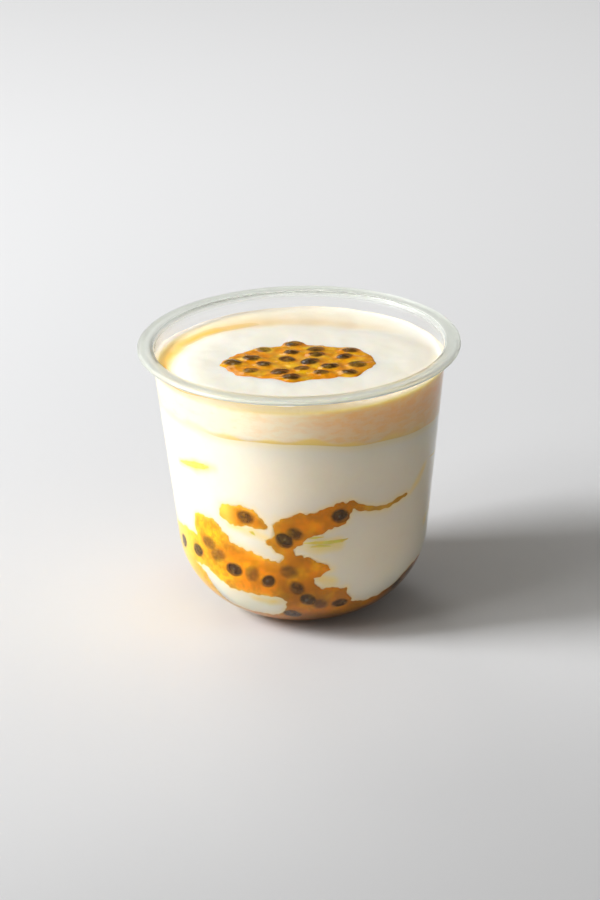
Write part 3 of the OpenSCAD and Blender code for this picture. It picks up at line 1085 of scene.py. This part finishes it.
class YOGURTPOT_OT_topping(bpy.types.Operator):
    """Make the pool of pulp on the cream, and its seeds"""

    bl_idname = "yogurt_pot.topping"
    bl_label = "Topping"

    centre = (0, -4.6 * MM)
    half = (26 * MM, 17.5 * MM)
    places = pool_places(centre, half)

    def edge(self, u, v):
        """Distance to the edge of the pool, negative inside"""
        a, b = self.half[0] - 2.5 * MM, self.half[1] - 2.5 * MM
        x, y = (u - self.centre[0]) / a, (v - self.centre[1]) / b
        oval = (np.hypot(x, y) - 1) * np.hypot(x * a, y * b) / np.maximum(np.hypot(x, y), 1e-6) * 0.9
        k = 0.9 * MM
        total = np.exp(-np.clip(oval / k, -50, 50))
        for sx, sy in self.places:
            gap = np.hypot(u - sx, v - sy) - 3.5 * MM
            total += np.exp(-np.clip(gap / k, -50, 50))
        points = np.stack([u, v, np.zeros(len(u))], axis=-1)
        return -k * np.log(total) + 0.6 * MM * rough(points, 2.6 * MM, 3)

    def execute(self, context):
        bm = bmesh.new()
        bmesh.ops.create_grid(bm, x_segments=180, y_segments=130, size=1)
        for v in bm.verts:
            v.co = (v.co.x * 30 * MM, v.co.y * 22 * MM - 4.6 * MM, 0)
        cut_to_field(bm, self.edge)
        flat = coordinates(bm)
        u, v = flat[:, 0], flat[:, 1]
        edge = np.minimum(self.edge(u, v), 0)
        rise = 0.8 * MM * np.sqrt(1 - np.exp(edge / (0.9 * MM)))
        sacs = np.zeros(len(u))
        shade = np.zeros(len(u))
        rng = random.Random(23)
        length = context.scene.yogurt_pot_pulp.seed_l
        seeds = []
        for x, y in self.places:
            seeds.append((x, y, rng.uniform(-0.7, 0.7), rng.uniform(0.92, 1.22), rng.uniform(-0.1, 0.4)))
        for sx, sy, turn, share, height in seeds:
            across, up = u - sx, v - sy
            x = across * math.cos(turn) + up * math.sin(turn)
            y = up * math.cos(turn) - across * math.sin(turn)
            reach = np.hypot(x, y * 1.25) / (length / 2 * share)
            sacs = np.maximum(sacs, (0.45 + height) * MM * np.exp(-(reach / 1.1) ** 2))
            shade = np.maximum(shade, (0.7 + 0.8 * height) * smooth(1.2, 0.75, reach))
        points = np.stack([u, v, np.zeros(len(u))], axis=-1)
        lumps = 0.24 * MM * rough(points, 2.4 * MM, 4) * smooth(0, 2 * MM, -edge)
        top_z = FILL_Z - 0.15 * MM + rise + sacs + lumps
        paint(bm, "shade", np.clip(shade, 0, 1))
        paint(bm, "foot", 0.35 * np.clip(rough(points, 4 * MM, 16), 0, 1))
        paint(bm, "orange_share", np.clip(0.75 + 0.9 * rough(points, 4 * MM, 17), 0, 1))
        paint(bm, "pale", np.clip(0.5 * rough(points, 3 * MM, 18), 0, 1))
        low_z = np.full(len(u), FILL_Z - 1.2 * MM)
        thicken(bm, np.stack([u, v, top_z], axis=-1), np.stack([u, v, low_z], axis=-1))
        pulp = context.scene.yogurt_pot_pulp
        finish_piece(bm, "pulp_pool", pulp_surface(pulp, "pool_pulp", True), ("fruit_topping",))
        beads = bmesh.new()
        flat_seed = Matrix.Scale(0.75, 4, (0, 0, 1))
        for sx, sy, turn, share, height in seeds:
            size = pulp.seed_l * share
            lean = Matrix.Rotation(rng.uniform(-0.25, 0.25), 4, "X")
            lean = lean @ Matrix.Rotation(rng.uniform(-0.2, 0.2), 4, "Y")
            z = FILL_Z + (height - 0.05) * MM
            place = Matrix.Translation((sx, sy, z)) @ Matrix.Rotation(turn, 4, "Z") @ lean @ flat_seed
            add_seed(beads, rng, size, place)
        finish_piece(beads, "pool_seeds", bpy.data.materials["seed"])
        return {"FINISHED"}


class YOGURTPOT_OT_stage(bpy.types.Operator):
    """Make the floor, the lights and the camera"""

    bl_idname = "yogurt_pot.stage"
    bl_label = "Stage"

    def lamp(self, name, place, aim, size, power, colour, spread):
        """One soft square lamp, whose light stays within the spread in degrees"""
        data = bpy.data.lights.new(name, "AREA")
        data.shape = "RECTANGLE"
        data.size, data.size_y = size
        data.energy = power
        data.color = colour
        data.spread = math.radians(spread)
        lamp = bpy.data.objects.new(name, data)
        lamp.location = place
        lamp.rotation_euler = (Vector(aim) - Vector(place)).to_track_quat("-Z", "Y").to_euler()
        bpy.context.scene.collection.objects.link(lamp)

    def execute(self, context):
        stage = context.scene.yogurt_pot_stage
        bm = bmesh.new()
        bmesh.ops.create_grid(bm, x_segments=8, y_segments=8, size=3.0)
        mesh = bpy.data.meshes.new("floor")
        bm.to_mesh(mesh)
        bm.free()
        floor = bpy.data.objects.new("floor", mesh)
        mesh.materials.append(floor_surface(stage))
        context.scene.collection.objects.link(floor)

        self.lamp("key", (-1.38, -0.17, 1.1), (0.2, 0.5, 0), (0.6, 0.6), 9.2, (0.965, 0.985, 1.035), 85)
        self.lamp("side", (-1.25, -0.75, 1.0), (0, 0.15, 0), (0.5, 0.5), 2.3, (0.98, 0.99, 1.02), 110)
        self.lamp("front", (0.2, -1.6, 0.16), (0, 0, 0.05), (0.9, 0.3), 2.3, (1.0, 0.965, 0.90), 160)
        self.lamp("back", (-0.7, 1.9, 1.3), (-0.35, 0.75, 0), (0.9, 0.9), 2.1, (1.0, 1.0, 1.0), 90)
        world = bpy.data.worlds.new("studio")
        world.use_nodes = True
        world.node_tree.nodes["Background"].inputs["Color"].default_value = (1.0, 0.985, 0.955, 1)
        world.node_tree.nodes["Background"].inputs["Strength"].default_value = 0.19
        context.scene.world = world
        context.scene.view_settings.view_transform = "Standard"

        data = bpy.data.cameras.new("camera")
        data.lens = stage.lens
        data.sensor_width = 36
        data.clip_start = 0.01
        camera = bpy.data.objects.new("camera", data)
        aim = Vector((-0.4 * MM, 0, 49.1 * MM))
        back = Vector((0, -math.cos(stage.elevation), math.sin(stage.elevation)))
        camera.location = aim + back * stage.distance
        look = (-back).to_track_quat("-Z", "Y").to_matrix().to_4x4()
        camera.rotation_euler = (look @ Matrix.Rotation(stage.roll, 4, "Z")).to_euler()
        context.scene.collection.objects.link(camera)
        context.scene.camera = camera
        return {"FINISHED"}


class YOGURTPOT_PT_panel(bpy.types.Panel):
    """The pieces of the pot and their settings"""

    bl_label = "Yogurt Pot"
    bl_idname = "YOGURTPOT_PT_panel"
    bl_space_type = "VIEW_3D"
    bl_region_type = "UI"
    bl_category = "Yogurt Pot"

    def draw(self, context):
        for operator in OPERATORS:
            self.layout.operator(operator.bl_idname)
        for group, name in SETTINGS:
            box = self.layout.box()
            box.label(text=group.bl_rna.description)
            settings = getattr(context.scene, name)
            for key in group.__annotations__:
                box.prop(settings, key)


SETTINGS = [
    (PotSettings, "yogurt_pot_body"),
    (FillingSettings, "yogurt_pot_filling"),
    (PulpSettings, "yogurt_pot_pulp"),
    (StageSettings, "yogurt_pot_stage"),
]
OPERATORS = [
    YOGURTPOT_OT_pot,
    YOGURTPOT_OT_yogurt,
    YOGURTPOT_OT_cream,
    YOGURTPOT_OT_pulp,
    YOGURTPOT_OT_streaks,
    YOGURTPOT_OT_topping,
    YOGURTPOT_OT_stage,
]


def register():
    for group, name in SETTINGS:
        bpy.utils.register_class(group)
        setattr(bpy.types.Scene, name, bpy.props.PointerProperty(type=group))
    for operator in OPERATORS:
        bpy.utils.register_class(operator)
    bpy.utils.register_class(YOGURTPOT_PT_panel)


def unregister():
    bpy.utils.unregister_class(YOGURTPOT_PT_panel)
    for operator in reversed(OPERATORS):
        bpy.utils.unregister_class(operator)
    for group, name in reversed(SETTINGS):
        delattr(bpy.types.Scene, name)
        bpy.utils.unregister_class(group)


def main():
    register()
    bpy.ops.yogurt_pot.pot()
    bpy.ops.yogurt_pot.yogurt()
    bpy.ops.yogurt_pot.cream()
    bpy.ops.yogurt_pot.pulp()
    bpy.ops.yogurt_pot.streaks()
    bpy.ops.yogurt_pot.topping()
    bpy.ops.yogurt_pot.stage()


if __name__ == "__main__":
    main()
